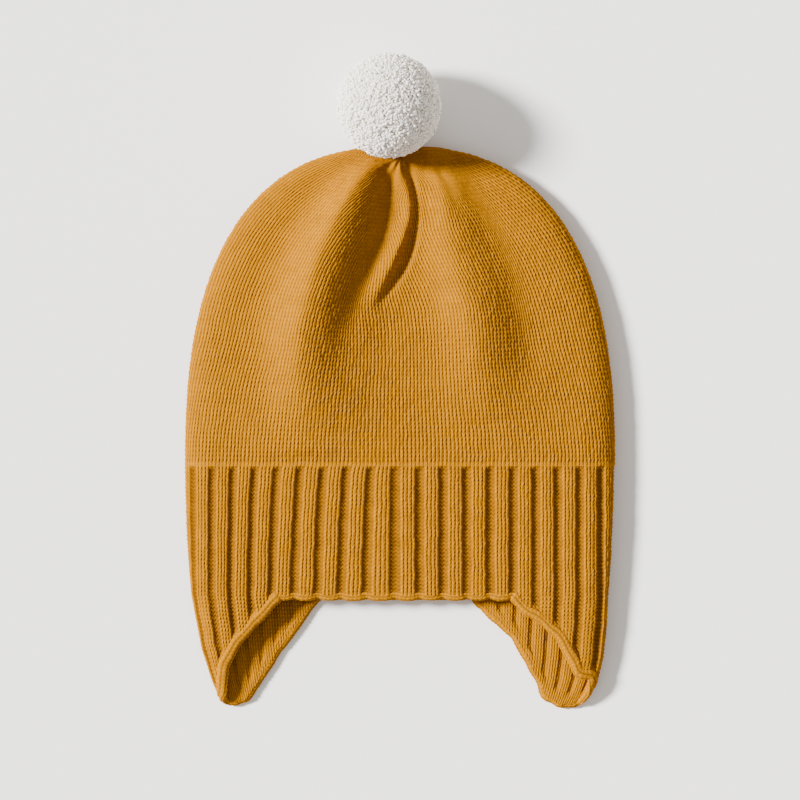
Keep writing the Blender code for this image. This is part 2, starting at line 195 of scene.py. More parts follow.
# name: line from the top down, width factors west and east of it, and how many wales it hides
FOLDS = {
    "left_lobe": ([(-12, 106, 5, 7), (-19, 97, 11, 10), (-26, 88, 14, 12), (-31, 76, 15, 14),
                   (-37, 64, 16, 15.5), (-41, 52, 15.5, 16.5), (-44.5, 38, 14, 17), (-48, 19, 11.5, 17),
                   (-47, 0, 8.5, 18), (-43, -19, 4.5, 20), (-41, -34, 1.5, 22), (-41, -42, 0.6, 22)],
                  0.82, 1.35, 0.0),
    "right_lobe": ([(19, 106, 2.5, 7), (23, 94, 5.0, 9), (24, 80, 5.5, 11), (26, 66, 6.5, 13),
                    (30, 54, 7.5, 15), (34, 42, 8.2, 16), (38, 28, 8.2, 16), (40, 14, 6.8, 16),
                    (43, 0, 4.0, 17), (46, -20, 0.6, 19)], 0.9, 1.2, 0.0),
    "left_valley": ([(-5, 107, -1.5, 3.5), (-6.5, 98, -2.8, 4), (-6.5, 89, -3.4, 4.5),
                     (-8, 77, -3.6, 4.8), (-10, 69, -3.6, 5), (-12.5, 63, -3.4, 5.5),
                     (-15.5, 57, -3.2, 6), (-19, 49, -2.8, 6.5), (-23, 38, -2.2, 7.5),
                     (-27, 24, -1.4, 8), (-30, 8, -0.8, 9), (-31, -10, 0.0, 10)], 1.1, 0.8, 0.45),
    "pleat": ([(1.5, 106, 1.2, 3.0), (3, 98, 2.4, 3.4), (5, 89, 3.2, 3.4), (4.8, 77, 3.4, 3.4),
               (1.2, 69.5, 3.6, 3.4), (-1, 63.5, 3.6, 3.4), (-3.5, 57, 3.3, 3.4), (-8, 48.7, 2.6, 3.6),
               (-11, 42, 1.6, 3.8), (-15, 35, 0.0, 4)], 1.3, 0.55, 0.0),
    "right_valley": ([(3.5, 107, -2.6, 2.8), (5.2, 99, -2.2, 2.2), (7.3, 90, -1.0, 1.8),
                      (7.6, 79, -1.2, 1.8), (6.2, 71, -2.4, 2.4), (4.4, 63.5, -3.4, 2.8),
                      (2.2, 57, -3.2, 2.4), (-3.2, 48.7, -2.0, 2.2), (-7.5, 42, -0.8, 2.6),
                      (-12, 36, 0.0, 3)], 1.0, 1.0, 0.2),
    "edge_crease": ([(17, 108, -1.2, 2.2), (20, 102, -1.6, 2.6), (24, 95, -1.2, 3.0),
                     (28, 85, -0.6, 3.4), (31, 75, 0.0, 4)], 1.0, 1.0, 0.14),
    "right_hollow": ([(30, 98, -0.4, 6), (44, 80, -0.8, 8), (54, 60, -1.0, 9), (59, 40, -1.2, 9),
                      (62, 14, -1.2, 10), (56, -16, 0.0, 12)], 1.0, 1.0, 0.21),
}


def crown_top(x, y):
    """Height of the front of the crown and how strongly wales are hidden in its folds there."""
    r, d = outline_depth(x, y)
    z = FOLD + rounding(d) + lift(y) * (1 - r ** 2)
    calm = smooth(d / 14.0) * smooth((y - BAND_TOP) / 8.0)
    hide = np.zeros(x.shape)
    for line, west, east, share in FOLDS.values():
        dist, side, high, wide = beside(bent(line), x, y)
        q = dist / (wide * np.where(side > 0, east, west))
        z = z + calm * high * np.exp(-q ** 2)
        deep = np.abs(high) / max(abs(p[2]) for p in line)
        hide += share * deep * np.exp(-(dist / 4.0) ** 2) / 4.0
    gather = np.hypot(x, y - GATHER_Y)
    angle = np.arctan2(x, GATHER_Y - y)
    z = z + 0.7 * np.cos(11 * angle) * np.exp(-(gather / 13) ** 2) * calm
    hide += 0.0006
    return z, hide


# ---------------------------------------------------------------- where the wales lie
def rib_place(wale):
    """Rib number counted from the centre, with the narrow knit and wide purl wales in place."""
    k = (wale - CENTRE) / RIB
    whole = np.floor(k)
    return whole + np.interp((k - whole) * RIB, np.arange(RIB + 1), RIB_SHARES)


def band_arcs(x, run, place, down):
    """Distance along a band section of rib places; down is 0 at the crown and 1 at the brim."""
    fold_run = 11
    middle = slice(*np.searchsorted(run, [run[0] + fold_run, run[-1] - fold_run]))
    k = np.arange(-SIDE_RIBS, SIDE_RIBS + 1.0)
    target = RIB_PITCH * k - 0.006 * k ** 3
    most_lean = 3.6
    target -= most_lean * np.sqrt(max(down, 0)) * smooth(-k / 1.5) * smooth((k + 9) / 4)
    arcs = np.interp(target, x[middle], run[middle])
    arcs[0], arcs[-1] = run[0], run[-1]
    arcs[1], arcs[-2] = (arcs[0] + arcs[2]) / 2, (arcs[-1] + arcs[-3]) / 2
    return np.interp(place, k, arcs)


def under(edge_x, edge_y, in_x, in_y, fold, count=14):
    """Lower quarter of the side fold, from the outermost line to the floor."""
    a = np.linspace(0, pi / 2, count)[1:]
    away = fold * (1 - np.cos(a))
    return edge_x + in_x * away, edge_y + in_y * away, fold * (1 - np.sin(a))


def crown_section(course):
    """One row of the crown's front from floor to floor: points and weight for hidden wales."""
    share = min(course / CROWN_ROWS, 1.0)
    plain_run = EDGE_COURSE * CROWN_ROWS
    run = plain_run * share + (TOP_RUN - plain_run) * share ** 6
    ex, ey, nx, ny = outline(run)
    mid = BAND_TOP + CROWN_LENGTH * share
    shape = 1 - 0.5 * smooth((share * CROWN_ROWS - 20) / (CROWN_ROWS - 20))
    tau = np.linspace(-1, 1, 441)
    x = ex * np.sin(pi / 2 * tau)
    y = ey - (ey - mid) * np.cos(pi / 2 * tau).clip(0) ** (2 * shape)
    z, hide = crown_top(x, y)
    ux, uy, uz = under(ex, ey, nx, ny, FOLD)
    if course > CROWN_ROWS:
        turned = (course - CROWN_ROWS) / TOP_ROWS * pi / 2
        away = FOLD * (1 - cos(turned))
        x, ux = x * (1 - 0.02 * turned), ux * (1 - 0.02 * turned)
        y, uy = y - away, np.minimum(uy, ey - away)
        z, uz = np.minimum(z, FOLD * (1 - sin(turned))), np.minimum(uz, FOLD * (1 - sin(turned)))
    zero = np.zeros(len(ux))
    return (np.concatenate([-ux[::-1], x, ux]), np.concatenate([uy[::-1], y, uy]),
            np.concatenate([uz[::-1], z, uz]), np.concatenate([zero, hide, zero]))


def along(*xyz):
    """Distance along a line from its start to each of its points."""
    steps = np.sqrt(sum(np.diff(v) ** 2 for v in xyz))
    return np.concatenate([[0], np.cumsum(steps)])


def crown_grid(wales, courses):
    """Points of the crown's front at every wale and course."""
    rows = []
    k_wide = (wales - CENTRE) / RIB
    k_rib = rib_place(wales)
    for c in courses:
        x, y, z, hide = crown_section(c)
        run = along(x, y, z)
        flat = along(x, y, 0.5 * z)
        total = flat[-1]
        spare = max(0.0, WALES - total / TIGHT_WALE)
        base = (WALES - spare) / total
        weight = (hide[1:] + hide[:-1]) / 2 * np.diff(run)
        number = base * flat + spare * np.concatenate([[0], np.cumsum(weight)]) / weight.sum()
        gathered = np.interp(wales, number * WALES / number[-1], run)
        place = mix(k_rib, k_wide, smooth(c / 3.0))
        ribbed = band_arcs(x, run, place, 0.0)
        arc = mix(ribbed, gathered, smooth(c / 30.0))
        rows.append(np.stack([np.interp(arc, run, v) for v in (x, y, z)], axis=-1))
    return np.array(rows)


def band_section(y):
    """A straight section of the front band, from floor to floor."""
    wide = half_width(y)
    x = wide * np.sin(pi / 2 * np.linspace(-1, 1, 361))
    z = FOLD + rounding(wide - np.abs(x)) + lift(y) * (1 - (x / wide) ** 2)
    ux, _, uz = under(wide, y, -1.0, 0.0, FOLD)
    return np.concatenate([-ux[::-1], x, ux]), np.concatenate([uz[::-1], z, uz])


def band_grid(wales, courses):
    """Points of the front band; courses are 0 at the crown and negative towards the brim."""
    rows = []
    place = rib_place(wales)
    for c in courses:
        y = mix(BAND_TOP, BRIM, -c / BAND_ROWS)
        x, z = band_section(y)
        run = along(x, z)
        arc = band_arcs(x, run, place, -c / BAND_ROWS)
        rows.append(np.stack([np.interp(arc, run, x), np.full(len(arc), y), np.interp(arc, run, z)],
                             axis=-1))
    return np.array(rows)


# ---------------------------------------------------------------- stitches
def part(w):
    """The part of a number after its point."""
    return w - np.floor(w)


CHANCE = np.random.default_rng(7).uniform(-1, 1, (4, 97, 101))


def uneven(w, c, size, kind):
    """Smooth random numbers from -1 to 1 over the knitting, size stitches across."""
    table = CHANCE[kind]
    u, v = w / size + 400, c / size + 400
    i, j = np.floor(u).astype(int), np.floor(v).astype(int)
    a, b = smooth(u - i), smooth(v - j)
    rows, cols = table.shape
    i0, i1, j0, j1 = i % rows, (i + 1) % rows, j % cols, (j + 1) % cols
    return mix(mix(table[i0, j0], table[i1, j0], a), mix(table[i0, j1], table[i1, j1], a), b)


def knit(w, c):
    """Height of plain stitches: two slanted legs in each wale, 0 in the gaps and 1 on top."""
    a = np.abs(part(w) - 0.5)
    slant = c - 1.5 * a
    leg = CHANCE[3][np.floor(2 * w).astype(int) % 97, np.floor(slant + 0.5).astype(int) % 101]
    legs = np.cos(pi * a).clip(0) ** 0.75 - 0.22 * np.exp(-(a / 0.1) ** 2)
    strand = 0.5 + 0.5 * np.cos(2 * pi * slant)
    return legs * (0.42 + 0.58 * strand) / 0.86 * (0.9 + 0.2 * leg)


def purl(w, c):
    """Height of the back of the stitches: short rounded bars, staggered from wale to wale."""
    a = part(w) - 0.5
    bar = 0.5 + 0.5 * np.cos(2 * pi * (c + 0.22 * np.sin(2 * pi * a)))
    return 0.2 + 0.8 * bar * (0.55 + 0.45 * np.cos(pi * a))


def rib_profile(w):
    """0 on top of a rib, 1 at the bottom of the purl valley, and the share of purl stitches."""
    place = rib_place(w)
    q = place - np.floor(place)
    middle = (RIB_SHARES[4] + 1) / 2
    off = np.abs(q - middle)
    off = np.minimum(off, 1 - off)
    down = smooth((0.27 - off) / 0.22)
    crest = np.clip(1 - q / RIB_SHARES[4] * 2, -1, 1) ** 2
    down = down + 0.2 * crest * (1 - down)
    return down, smooth((0.215 - off) / 0.03)


def normals(p):
    """Unit normals of a grid of points, rows by courses and columns by wales."""
    n = np.cross(np.gradient(p, axis=1), np.gradient(p, axis=0))
    return n / np.maximum(np.linalg.norm(n, axis=-1, keepdims=True), 1e-9)


def pitch(p, wales):
    """How wide a wale is at each point, as a share of a relaxed stitch."""
    step = np.linalg.norm(np.gradient(p, axis=1), axis=-1) / np.abs(np.gradient(wales))[None, :]
    return step / WALE


# ---------------------------------------------------------------- meshes
def build(name, verts, quads, rims=(), uv=None, painted_shade=None, material=None):
    """Mesh object from arrays: quads are (n, 4) indices and rims are lists of indices."""
    mesh = bpy.data.meshes.new(name)
    loops = [np.asarray(quads, np.int32).ravel()] + [np.asarray(r, np.int32) for r in rims]
    sizes = np.concatenate([np.full(len(quads), np.shape(quads)[1]), [len(r) for r in rims]]).astype(int)
    corner = np.concatenate(loops).astype(np.int32)
    mesh.vertices.add(len(verts))
    mesh.vertices.foreach_set("co", (np.asarray(verts) * MM).astype(np.float32).ravel())
    mesh.loops.add(len(corner))
    mesh.loops.foreach_set("vertex_index", corner)
    mesh.polygons.add(len(sizes))
    mesh.polygons.foreach_set("loop_start", np.concatenate([[0], np.cumsum(sizes)[:-1]]).astype(np.int32))
    mesh.update(calc_edges=True)
    flat = np.zeros(len(sizes), bool)
    flat[len(quads):] = True
    mesh.polygons.foreach_set("use_smooth", ~flat)
    if uv is not None:
        layer = mesh.uv_layers.new(name="OFBake")
        layer.data.foreach_set("uv", np.asarray(uv, np.float32)[corner].ravel())
    # per-point painted shade, which the wool material reads
    if painted_shade is not None:
        layer = mesh.attributes.new("painted_shade", "FLOAT", "POINT")
        layer.data.foreach_set("value", np.asarray(painted_shade, np.float32).ravel())
    mesh.validate()
    obj = bpy.data.objects.new(name, mesh)
    bpy.context.collection.objects.link(obj)
    if material:
        mesh.materials.append(material)
    return obj


def grid_quads(rows, cols, start=0):
    """Faces of a grid of points, whose first index is start."""
    r, c = np.meshgrid(np.arange(rows - 1), np.arange(cols - 1), indexing="ij")
    k = (start + r * cols + c).ravel()
    return np.stack([k, k + 1, k + 1 + cols, k + cols], axis=1)


def cloth(name, outer, inner, painted_shade, material, step=(1, 1), inner_painted_shade=None, flip=False):
    """Closed piece of knitting: a fine outer grid, a coarser inner one, and the cut edges."""
    rows, cols = outer.shape[:2]
    r2, c2 = inner.shape[:2]
    quads = grid_quads(rows, cols)
    back = grid_quads(r2, c2, rows * cols)[:, ::-1]
    rims = []

    def rim(count, fine, coarse, every, turned):
        for i in range(count):
            face = [fine(i * every + j) for j in range(every + 1)] + [coarse(i + 1), coarse(i)]
            rims.append(face if turned else face[::-1])

    base = rows * cols
    rim(c2 - 1, lambda i: i, lambda i: base + i, step[1], False)
    rim(c2 - 1, lambda i: (rows - 1) * cols + i, lambda i: base + (r2 - 1) * c2 + i, step[1], True)
    rim(r2 - 1, lambda i: i * cols, lambda i: base + i * c2, step[0], True)
    rim(r2 - 1, lambda i: i * cols + cols - 1, lambda i: base + i * c2 + c2 - 1, step[0], False)
    quads = np.concatenate([quads, back])
    if flip:
        quads = quads[:, ::-1]
        rims = [face[::-1] for face in rims]
    uv = []
    for (n, m), low, high in (((rows, cols), 0.0, 0.78), ((r2, c2), 0.8, 1.0)):
        v, u = np.meshgrid(np.linspace(low, high, n), np.linspace(0, 1, m), indexing="ij")
        uv.append(np.stack([u, v], axis=-1).reshape(-1, 2))
    # painted shade: inner faces without their own get an even middle value of it
    if inner_painted_shade is None:
        inner_painted_shade = np.full((r2, c2), 0.6)
    verts = np.concatenate([outer.reshape(-1, 3), inner.reshape(-1, 3)])
    painted_shades = np.concatenate([painted_shade.ravel(), inner_painted_shade.ravel()])
    return build(name, verts, quads, rims, np.concatenate(uv), painted_shades, material)


def wale_range(first, last, fine=ACROSS):
    """Mesh columns from one wale to another, fine of them in each."""
    return np.linspace(first, last, int(round((last - first) * fine)) + 1)


# ---------------------------------------------------------------- materials
def wool(name, light, dark, fuzz=0.35, grain=900.0, soft=0.0, stitches=True):
    """Matt wool: shade painted into the colour between the stitches from the mesh attribute, uneven along
    the yarn, with a soft sheen from the shader.
    """
    mat = bpy.data.materials.new(name)
    mat.use_nodes = True
    nodes, links = mat.node_tree.nodes, mat.node_tree.links
    shader = nodes["Principled BSDF"]
    shader.inputs["Roughness"].default_value = 0.88
    shader.inputs["Specular IOR Level"].default_value = 0.0
    shader.inputs["Sheen Weight"].default_value = fuzz
    shader.inputs["Sheen Roughness"].default_value = 0.45
    shader.inputs["Sheen Tint"].default_value = (*light, 1.0)
    if soft:
        shader.inputs["Subsurface Weight"].default_value = soft
        shader.inputs["Subsurface Radius"].default_value = (1.0, 0.8, 0.6)
        shader.inputs["Subsurface Scale"].default_value = 0.003
    attr = nodes.new("ShaderNodeAttribute")
    attr.attribute_name = "painted_shade"
    place = nodes.new("ShaderNodeTexCoord")
    broad = nodes.new("ShaderNodeTexNoise")
    broad.inputs["Scale"].default_value = 160.0
    broad.inputs["Detail"].default_value = 2.0
    fine = nodes.new("ShaderNodeTexNoise")
    fine.inputs["Scale"].default_value = grain
    fine.inputs["Detail"].default_value = 3.0
    for tex in (broad, fine):
        links.new(place.outputs["Object"], tex.inputs["Vector"])
    ramp = nodes.new("ShaderNodeMix")
    ramp.data_type = "RGBA"
    ramp.inputs["A"].default_value = (*dark, 1.0)
    ramp.inputs["B"].default_value = (*light, 1.0)
    total = nodes.new("ShaderNodeMath")
    total.operation = "MULTIPLY_ADD"
    total.inputs[1].default_value = 0.35
    links.new(fine.outputs["Fac"], total.inputs[0])
    # painted shade: the per-point attribute pulls the colour towards dark in the gaps between stitches;
    # without stitches a constant 0.7 stands in
    if stitches:
        links.new(attr.outputs["Fac"], total.inputs[2])
    else:
        total.inputs[2].default_value = 0.7
    more = nodes.new("ShaderNodeMath")
    more.operation = "MULTIPLY_ADD"
    more.inputs[1].default_value = 0.25
    links.new(broad.outputs["Fac"], more.inputs[0])
    links.new(total.outputs[0], more.inputs[2])
    shift = nodes.new("ShaderNodeMath")
    shift.operation = "SUBTRACT"
    shift.use_clamp = True
    shift.inputs[1].default_value = 0.3
    links.new(more.outputs[0], shift.inputs[0])
    links.new(shift.outputs[0], ramp.inputs["Factor"])
    links.new(ramp.outputs["Result"], shader.inputs["Base Color"])
    bump = nodes.new("ShaderNodeBump")
    bump.inputs["Strength"].default_value = 0.35
    bump.inputs["Distance"].default_value = 0.0003
    links.new(fine.outputs["Fac"], bump.inputs["Height"])
    links.new(bump.outputs["Normal"], shader.inputs["Normal"])
    return mat


# DARK_MUSTARD is the colour of the painted shade between stitches and in the rib valleys, and the darkest
# random tone; MUSTARD_YARN gets no painted shade
LIGHT_MUSTARD = (0.45, 0.178, 0.0006)
DARK_MUSTARD = (0.085, 0.03, 0.001)
MUSTARD = wool("mustard_wool", LIGHT_MUSTARD, DARK_MUSTARD, fuzz=0.12)
MUSTARD_YARN = wool("mustard_yarn", LIGHT_MUSTARD, DARK_MUSTARD, fuzz=0.12, stitches=False)
# DARK_WHITE is the colour of the painted shade between the pom-pom's grains and on its core, and the
# darkest random tone
LIGHT_WHITE = (0.96, 0.89, 0.80)
DARK_WHITE = (0.76, 0.69, 0.60)
WHITE = wool("white_wool", LIGHT_WHITE, DARK_WHITE, fuzz=0.1, grain=1400.0, soft=0.35)
WHITE_YARN = wool("white_yarn", LIGHT_WHITE, DARK_WHITE, fuzz=0.3, grain=1400.0, stitches=False)


# ---------------------------------------------------------------- front of the hat
def stitched(p, wales, courses, depth=PLAIN_DEPTH, sink=None, purl_share=None, turned=1.0, n=None):
    """Lay stitches on a smooth grid: returns the displaced points, the painted shade (darker in the gaps
    between stitches and on purl stitches) and the normals.
    """
    if n is None:
        n = normals(p) * turned
    w, c = np.meshgrid(wales, courses) if np.ndim(courses) == 1 else (wales + 0 * courses, courses)
    snug = np.minimum(1.0, pitch(p, wales))
    shift = np.stack([uneven(w, c, WANDER_SIZE, 0), uneven(w, c, WANDER_SIZE, 1), 0 * w], axis=-1)
    p = p + WANDER * (snug * (np.abs(n[..., 2]) > 0.3))[..., None] * shift
    plain = knit(w, c)
    if purl_share is not None:
        plain = mix(plain, purl(w, c), purl_share)
    plain = mix(plain, 0.85, 0.7 * (1 - smooth(np.abs(c) / 0.5)))
    high = depth * np.minimum(1.0, snug / 0.85) * (1 + 0.12 * uneven(w, c, 4.0, 2))
    move = high * (plain - 1)
    if sink is not None:
        move = move - sink
    # painted shade: darker in the gaps between stitches, where the relief sinks
    painted_shade = 0.2 + 0.8 * plain
    # more painted shade on the purl stitches, which lie in the valleys between the ribs
    if purl_share is not None:
        painted_shade = painted_shade * (1 - 0.5 * purl_share)
    return p + n * move[..., None], painted_shade, n


# one inner point for each stitch
COARSE = slice(None, None, ALONG), slice(None, None, ACROSS)


def make_crown_front():
    wales = wale_range(0, WALES)
    rows = CROWN_ROWS + TOP_ROWS
    courses = np.linspace(0, rows, rows * ALONG + 1)
    p = crown_grid(wales, courses)
    n = normals(np.concatenate([band_grid(wales, [-1 / ALONG]), p]))[1:]
    outer, painted_shade, n = stitched(p, wales, courses, n=n)
    outer[..., 2] = np.maximum(outer[..., 2], OUTER_LOW)
    inner = (p - n * CLOTH)[COARSE]
    inner[..., 2] = np.maximum(inner[..., 2], INNER_LOW)
    obj = cloth("crown_front_knit", outer, inner, painted_shade, MUSTARD, (ALONG, ACROSS))
    ride(obj, "crown_front")


def make_band_front():
    wales = wale_range(0, WALES)
    courses = np.linspace(-BAND_ROWS, 0, BAND_ROWS * ALONG + 1)
    p = band_grid(wales, courses)
    n = normals(np.concatenate([p, crown_grid(wales, [1 / ALONG])]))[:-1]
    w, c = np.meshgrid(wales, courses)
    down, share = rib_profile(w)
    start = smooth(-c / 1.4)
    outer, painted_shade, n = stitched(p, wales, courses, sink=VALLEY * down * start,
                              purl_share=share * smooth(-c / 1.2), n=n)
    # painted shade in the purl valleys between the ribs
    painted_shade = painted_shade * (1 - 0.2 * down * start)
    outer[..., 2] = np.maximum(outer[..., 2], OUTER_LOW)
    inner = (p - n * BAND_CLOTH)[:, ::ACROSS]
    inner[..., 2] = np.maximum(inner[..., 2], INNER_LOW)
    obj = cloth("rib_band_front_knit", outer, inner, painted_shade, MUSTARD, (1, ACROSS))
    ride(obj, "rib_band_front")


# ---------------------------------------------------------------- back of the hat
BACK_WALES = 52                 # from the seam to the side fold
BACK_TOP = 106.4                # where the back ends at the seam
BACK_LOW = 0.15                 # height of its outside above the floor
SEAM_GAP = 1.2                  # from the middle of the seam to either half
BACK_STITCH = 0.4               # how far the stitches on the floor stand up


def make_crown_back():
    for side, word in ((-1, "left"), (1, "right")):
        wales = np.linspace(0, BACK_WALES, BACK_WALES * 4 + 1)
        courses = np.linspace(0, CROWN_ROWS, CROWN_ROWS * 3 + 1)
        rows = []
        for c in courses:
            share = c / CROWN_ROWS
            run = EDGE_COURSE * c + (OUT_RUN[-1] - EDGE_COURSE * CROWN_ROWS) * share ** 6
            ex, ey, nx, ny = outline(min(run, OUT_RUN[-1] - 1.5))
            inset = FOLD + 0.3
            qx, qy = ex + nx * inset, ey + ny * inset
            mid = mix(BAND_TOP, BACK_TOP, share)
            u = wales / BACK_WALES
            x = mix(SEAM_GAP, max(qx, SEAM_GAP + 0.4), u)
            y = qy - (qy - mid) * (1 - u ** 2) ** (1 - 0.5 * smooth((c - 20) / 58))
            rows.append(np.stack([side * x, y, np.full(len(x), BACK_LOW)], axis=-1))
        p = np.array(rows)
        outer, painted_shade, _ = stitched(p, wales, courses, depth=BACK_STITCH, turned=-side)
        outer[..., 2] = np.maximum(outer[..., 2], INNER_LOW)
        coarse = slice(None, None, 3), slice(None, None, 4)
        inner = p[coarse] + np.array([0, 0, CLOTH])
        obj = cloth(f"crown_back_{word}_knit", outer, inner, painted_shade, MUSTARD, (3, 4), flip=side > 0)
        ride(obj, "crown_back_" + word)


def make_band_back():
    for side, word in ((-1, "left"), (1, "right")):
        last = 8 * RIB
        wales = np.linspace(0, last, last * 4 + 1)
        courses = np.linspace(-BAND_ROWS, 0, BAND_ROWS * 2 + 1)
        w, c = np.meshgrid(wales, courses)
        y = mix(BAND_TOP, BRIM, -c / BAND_ROWS)
        x = SEAM_GAP + (half_width(y) - 8.0) * w / last
        p = np.stack([side * x, y, np.full(x.shape, BACK_LOW)], axis=-1)
        down, share = rib_profile(w)
        outer, painted_shade, _ = stitched(p, wales, courses, sink=1.4 * down, purl_share=share, turned=-side)
        outer[..., 2] = np.maximum(outer[..., 2], INNER_LOW)
        inside = FLAP_INSIDE - 1.3 * smooth((down - 0.35) / 0.5) - 0.4 * (1 - knit(w, c))
        inner = p + np.array([0, 0, 1.0]) * inside[..., None]
        # the inside takes the same painted stitch shade as the outside
        obj = cloth(f"rib_band_back_{word}_knit", outer, inner, painted_shade, MUSTARD, (1, 1), painted_shade,
                    flip=side > 0)
        ride(obj, "rib_band_back_" + word)


# ---------------------------------------------------------------- ear flaps
# fold: (y, x) down the side fold. edge: (arc, y) of where the knitting ends; the arc runs from the
# side fold, below zero over the front half and above zero over the back half.
FLAPS = {
    "left": dict(side=-1, fold=[(-104.5, 102.3), (-117, 100), (-131, 97.3), (-146, 92.5), (-159, 87)],
                 edge=[(-46, -105.2), (-34, -116), (-21, -127.6), (-10.5, -139.5), (-5.8, -149),
                       (-3, -154), (0, -156), (8, -157.4), (15.5, -156), (22, -150.5), (42, -130.5),
                       (62, -109), (66, -105.2)]),
    "right": dict(side=1, fold=[(-104.5, 102.3), (-120, 101.6), (-135, 100), (-146, 97.3), (-154, 93),
                                (-161, 88)],
                  edge=[(-50, -105.2), (-42.5, -113), (-34, -117.5), (-30, -121.8), (-23.8, -126.6),
                        (-20.5, -132.5), (-15.3, -139.5), (-12.8, -143.5), (-5.2, -145), (0, -152),
                        (4, -157.6), (13.6, -159), (24.4, -154.5), (36, -141.8), (47.5, -125.7),
                        (66.7, -109.6), (69, -105.2)]),
}
BACK_PITCH = 8.0                # width of a rib in the back half of a flap
FLAP_ROWS = 27


def flap_table(fold):
    """Outer surface of a flap over (y, arc), as a table to look points up in."""
    ys = np.linspace(BRIM, BRIM - 60, 61)
    arcs = np.linspace(-80, 85, 661)
    fold = np.array(fold)
    out = []
    for y in ys:
        fx = np.interp(-y, -fold[:, 0], fold[:, 1])
        t = (BRIM - y) / 55
        r = mix(FOLD, 4.7, min(t, 1))
        d = np.linspace(0, 1, 400) ** 2 * 75
        ux, _, uz = under(fx, y, -1.0, 0.0, r)
        x = np.concatenate([(fx - d)[::-1], ux, ux[-1] - np.linspace(1, 80, 80)])
        z = np.concatenate([(r + rounding(d, r, ROUND * r / FOLD))[::-1] + lift(BRIM) * (1 - t), uz,
                            np.zeros(80)])
        run = along(x, z)
        run -= run[len(d) - 1]
        out.append(np.stack([np.interp(arcs, run, x), np.interp(arcs, run, z)], axis=-1))
    return np.array(out), ys, arcs


def look_up(table, ys, arcs, y, arc):
    """Points of the table between its rows and columns."""
    i = np.clip((y - ys[0]) / (ys[1] - ys[0]), 0, len(ys) - 1.001)
    j = np.clip((arc - arcs[0]) / (arcs[1] - arcs[0]), 0, len(arcs) - 1.001)
    i0, j0 = i.astype(int), j.astype(int)
    a, b = (i - i0)[..., None], (j - j0)[..., None]
    low = table[i0, j0] * (1 - b) + table[i0, j0 + 1] * b
    high = table[i0 + 1, j0] * (1 - b) + table[i0 + 1, j0 + 1] * b
    return low * (1 - a) + high * a


def flap_arc(side, wales):
    """Arc from the side fold of the wales at the brim."""
    x, z = band_section(BRIM)
    run = along(x, z)
    arc = band_arcs(x, run, rib_place(np.clip(wales, 0, WALES)), 1.0)
    outmost = run[int(np.argmax(x * side))]
    arc = (arc - outmost) * side
    past = np.maximum(wales - WALES, 0) if side > 0 else np.maximum(-wales, 0)
    return arc + past / RIB * BACK_PITCH


def lean(data, arc, y):
    """Arc of a wale lower down: the outer wales follow the side fold and the others hang straight."""
    fold = np.array(data["fold"])
    moved = fold[0, 1] - np.interp(-y, -fold[:, 0], fold[:, 1])
    free = 0.75 * (1 - np.exp(-np.abs(arc) / 22))
    return np.sign(arc) * np.maximum(np.abs(arc) - moved * free, 0)


def make_flap(word):
    data = FLAPS[word]
    side = data["side"]
    edge = np.array(data["edge"], float)
    probe = np.linspace(90, 190, 2001)
    probe = probe if side > 0 else WALES - probe
    reach = flap_arc(side, probe)
    first, last = (np.interp(a, reach, probe) for a in (edge[0, 0], edge[-1, 0]))
    wales = np.linspace(first, last, int(abs(last - first) * 5))
    arc = flap_arc(side, wales)
    down, _ = rib_profile(wales)
    end = np.interp(arc, edge[:, 0], edge[:, 1])
    for _ in range(12):
        end = mix(end, np.interp(lean(data, arc, end), edge[:, 0], edge[:, 1]), 0.5)
    kernel = np.hanning(13) / np.hanning(13).sum()
    end = np.convolve(np.pad(end, 6, mode="edge"), kernel, "valid")
    end = np.minimum(end + 0.5 * down * smooth((BRIM - end) / 8), BRIM - 0.5)
    t = np.linspace(0, 1, FLAP_ROWS * ALONG + 1)[:, None]
    y = mix(BRIM + 0.4, end[None, :], t)
    arcs = lean(data, np.broadcast_to(arc, y.shape), y)
    place = look_up(*flap_table(data["fold"]), y, arcs)
    p = np.stack([side * place[..., 0], y, place[..., 1]], axis=-1)
    courses = (y - BAND_TOP) / COURSE
    w = np.broadcast_to(wales, y.shape)
    down, share = rib_profile(w)
    left = y - end[None, :]
    calm = smooth((left - 3.0) / 4.0)
    under_side = smooth((arcs - 3) / 5)
    hem = 0.25 * smooth((y - BRIM) / 0.4)
    sink = VALLEY * down * (0.35 + 0.65 * calm) * (1 - 0.8 * under_side) + hem
    outer, painted_shade, n = stitched(p, wales, courses, turned=-side, purl_share=share * calm, sink=sink)
    outer[..., 2] = np.maximum(outer[..., 2], INNER_LOW)
    groove = down * calm
    inside = FLAP_INSIDE - groove * under_side
    texture = knit(w, -courses)
    inner = p - n * (inside + 0.6 * (texture - 1))[..., None]
    inner[..., 2] = np.maximum(inner[..., 2], 0.2)
    # painted shade on the inside: darker in the gaps between stitches and in the grooves
    inner_painted_shade = (0.2 + 0.8 * texture) * (1 - 0.15 * groove)
    # painted shade in the rib valleys of the outside
    painted_shade = painted_shade * (1 - 0.3 * down * calm)
    obj = cloth(f"{word}_ear_flap_knit", outer, inner, painted_shade, MUSTARD, (1, 1), inner_painted_shade, flip=side > 0)
    bend(obj)
    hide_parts(f"{word}_ear_flap")
    middle = p[-1] - n[-1] * FLAP_CLOTH / 2
    out = p[-1] - p[-3]
    out = out - n[-1] * (out * n[-1]).sum(-1, keepdims=True)
    out /= np.linalg.norm(out, axis=-1, keepdims=True)
    binding = bound_edge(f"{word}_flap_binding", middle - out * 1.2, n[-1], 3.0, 1.9)
    bend(binding)
    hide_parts(f"{word}_flap_edging")


def bend(obj):
    """Bakes the piece's placement into its points; it bends nothing, the flap's shape is already in them.
    """
    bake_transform(obj)


def ride(obj, node):
    """The piece goes with the shell in place of a CAD node."""
    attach(obj, "shell")
    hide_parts(node)
